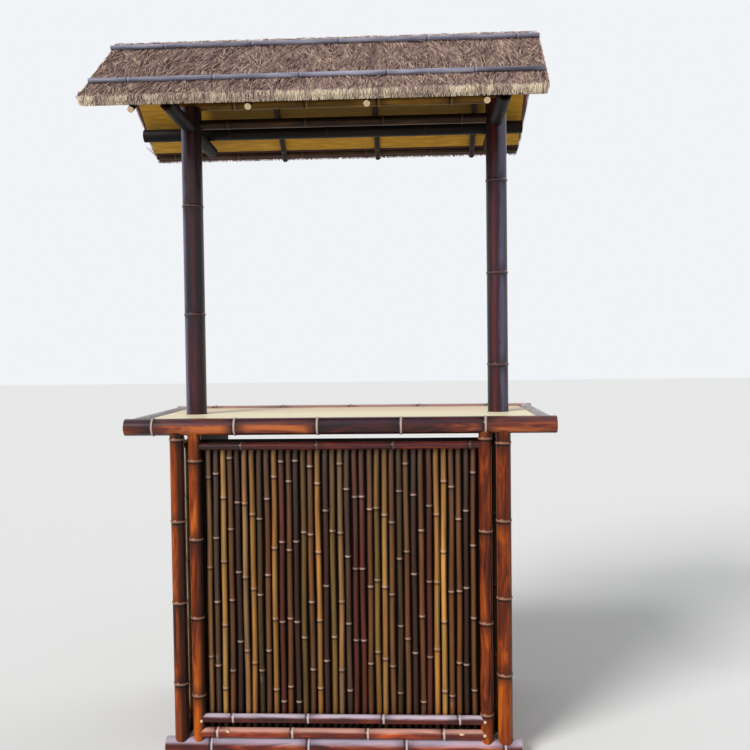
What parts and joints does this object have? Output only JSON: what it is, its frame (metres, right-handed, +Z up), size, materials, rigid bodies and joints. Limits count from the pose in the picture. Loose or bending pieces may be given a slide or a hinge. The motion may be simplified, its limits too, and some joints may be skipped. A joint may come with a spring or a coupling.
{
  "type": "garden bar",
  "caption": "Free-standing outdoor bar of dark lacquered bamboo, with a slatted front, a railed serving counter and a small thatched gable roof on a pair of posts.",
  "frame": {"origin": "on the ground, at the middle of the whole object's footprint, which is below the middle of the roof's ridge", "axes": "+Z up, +Y from the customers' side towards the bartender's side, +X to the right as a customer sees it, along the ridge"},
  "size_m": [1.472, 0.812, 2.3493],
  "materials": {
    "lacquered_bamboo": "gloss lacquer over burnt, mottled bamboo",
    "mottled_slats": "satin varnish over mottled split bamboo",
    "dark_bamboo": "gloss lacquer, near black with red-brown patches",
    "backing_board": "dark stained plywood",
    "pale_counter_board": "varnished pale split bamboo",
    "ochre_roof_board": "matt woven-bamboo ply",
    "thatch": "weathered grass thatch",
    "thatch_battens": "glossy dark cane"
  },
  "bodies": {
    "root": {"front_sill": "lacquered_bamboo", "back_sill": "lacquered_bamboo", "left_sill": "lacquered_bamboo", "right_sill": "lacquered_bamboo", "front_outer_legs": "lacquered_bamboo", "front_inner_legs": "lacquered_bamboo", "back_legs": "lacquered_bamboo", "panel_top_rail": "lacquered_bamboo", "panel_upper_rail": "lacquered_bamboo", "panel_lower_rail": "lacquered_bamboo", "front_slats": "mottled_slats", "front_backing": "backing_board", "left_side_rails": "lacquered_bamboo", "left_side_slats": "mottled_slats", "left_side_backing": "backing_board", "right_side_rails": "lacquered_bamboo", "right_side_slats": "mottled_slats", "right_side_backing": "backing_board", "front_counter_beam": "lacquered_bamboo", "back_counter_beam": "lacquered_bamboo", "counter_end_poles": "lacquered_bamboo", "counter_bearers": "lacquered_bamboo", "counter_board": "pale_counter_board", "left_post": "dark_bamboo", "right_post": "dark_bamboo", "left_tie": "dark_bamboo", "right_tie": "dark_bamboo", "upper_header": "lacquered_bamboo", "lower_header": "lacquered_bamboo", "king_posts": "dark_bamboo", "ridge_pole": "dark_bamboo", "front_purlin": "dark_bamboo", "back_purlin": "dark_bamboo", "front_rafters": "dark_bamboo", "back_rafters": "dark_bamboo", "front_eave_pole": "dark_bamboo", "back_eave_pole": "dark_bamboo", "front_roof_board": "ochre_roof_board", "back_roof_board": "ochre_roof_board", "front_thatch": "thatch", "back_thatch": "thatch", "ridge_battens": "thatch_battens", "lower_battens": "thatch_battens"}
  },
  "joints": []
}
